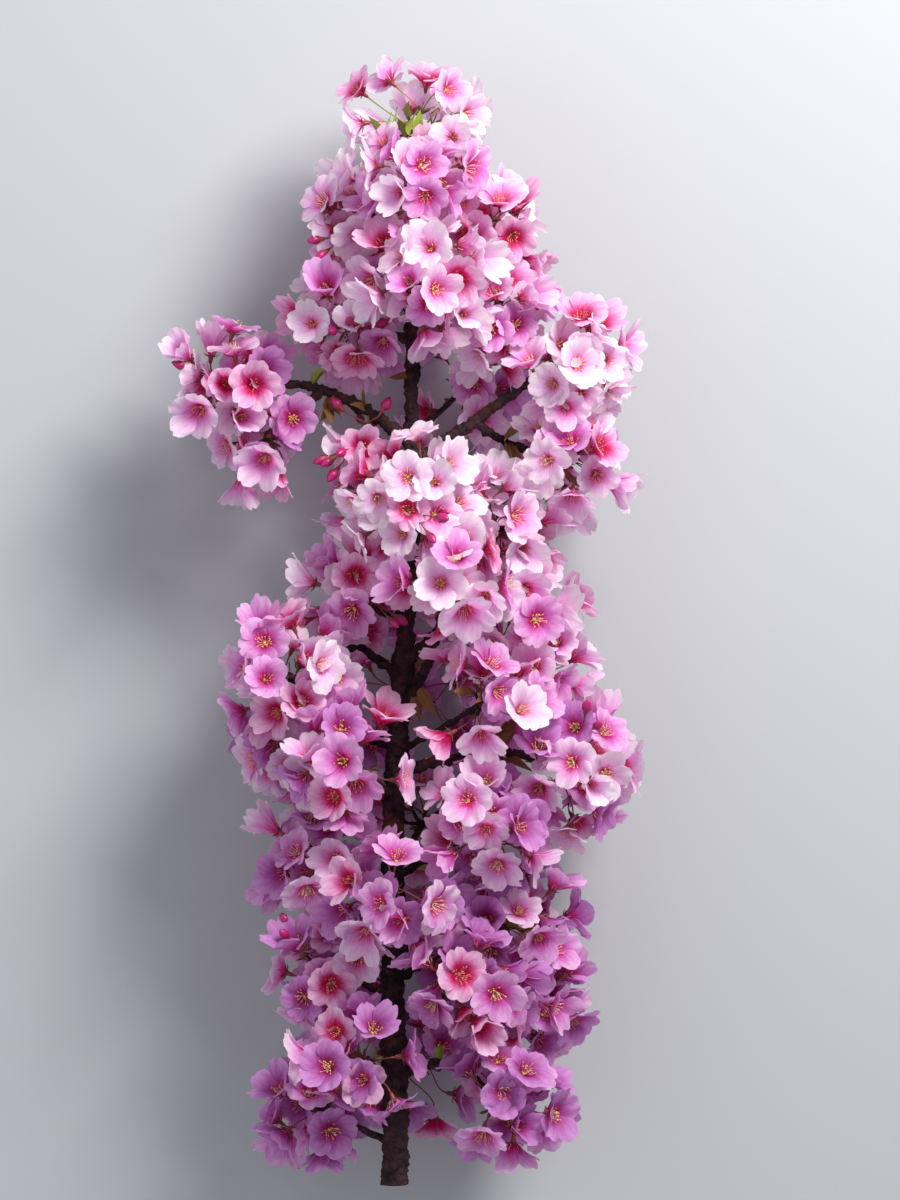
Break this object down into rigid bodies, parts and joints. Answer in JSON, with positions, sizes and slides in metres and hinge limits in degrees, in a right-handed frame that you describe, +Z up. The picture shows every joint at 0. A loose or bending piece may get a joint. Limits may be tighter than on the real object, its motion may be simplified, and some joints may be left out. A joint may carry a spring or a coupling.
{
  "type": "cherry blossom branch, cut, in full flower",
  "caption": "Cut branch of pink cherry in full flower, lying down: a dark leader with short side limbs hidden in round masses of single five-petalled blossom.",
  "frame": {"origin": "middle of the bounding box's footprint, on the surface that the branch lies on", "axes": "+Y along the branch from its sawn end to its flowering tip, +Z up from the surface that it lies on, +X to the right when it is seen from above with the tip upward"},
  "size_m": [0.3042, 0.7432, 0.1911],
  "materials": {
    "bark": "rough, ringed, dark brown bark",
    "blossom": "soft matt pink petals"
  },
  "bodies": {
    "root": {"blossom_bud_spray": "blossom", "blossom_foot_back": "blossom", "blossom_foot_back_up": "blossom", "blossom_foot_left": "blossom", "blossom_foot_left_out": "blossom", "blossom_foot_left_up": "blossom", "blossom_foot_right": "blossom", "blossom_foot_right_front": "blossom", "blossom_foot_right_low": "blossom", "blossom_heart_back": "blossom", "blossom_heart_front": "blossom", "blossom_heart_left": "blossom", "blossom_heart_right": "blossom", "blossom_left_arm_down": "blossom", "blossom_left_arm_up": "blossom", "blossom_low_back": "blossom", "blossom_low_front": "blossom", "blossom_low_left": "blossom", "blossom_low_left_front": "blossom", "blossom_low_right": "blossom", "blossom_low_right_front": "blossom", "blossom_mid_back": "blossom", "blossom_mid_front": "blossom", "blossom_mid_left": "blossom", "blossom_mid_right": "blossom", "blossom_right_arm_down": "blossom", "blossom_right_arm_end": "blossom", "blossom_right_arm_up": "blossom", "blossom_side_back": "blossom", "blossom_side_left": "blossom", "blossom_side_left_low": "blossom", "blossom_side_right": "blossom", "blossom_side_right_front": "blossom", "blossom_skirt_back": "blossom", "blossom_tip": "blossom", "blossom_upper_back": "blossom", "blossom_upper_front": "blossom", "blossom_upper_left": "blossom", "blossom_upper_right": "blossom", "blossom_waist_back": "blossom", "blossom_waist_front": "blossom", "blossom_waist_right": "blossom", "foot_right_arm": "bark", "leader": "bark", "left_arm": "bark", "low_left_arm": "bark", "low_right_arm": "bark", "mid_left_spur": "bark", "mid_right_arm": "bark", "mid_right_spur": "bark", "right_arm": "bark", "right_fork": "bark"}
  },
  "joints": []
}
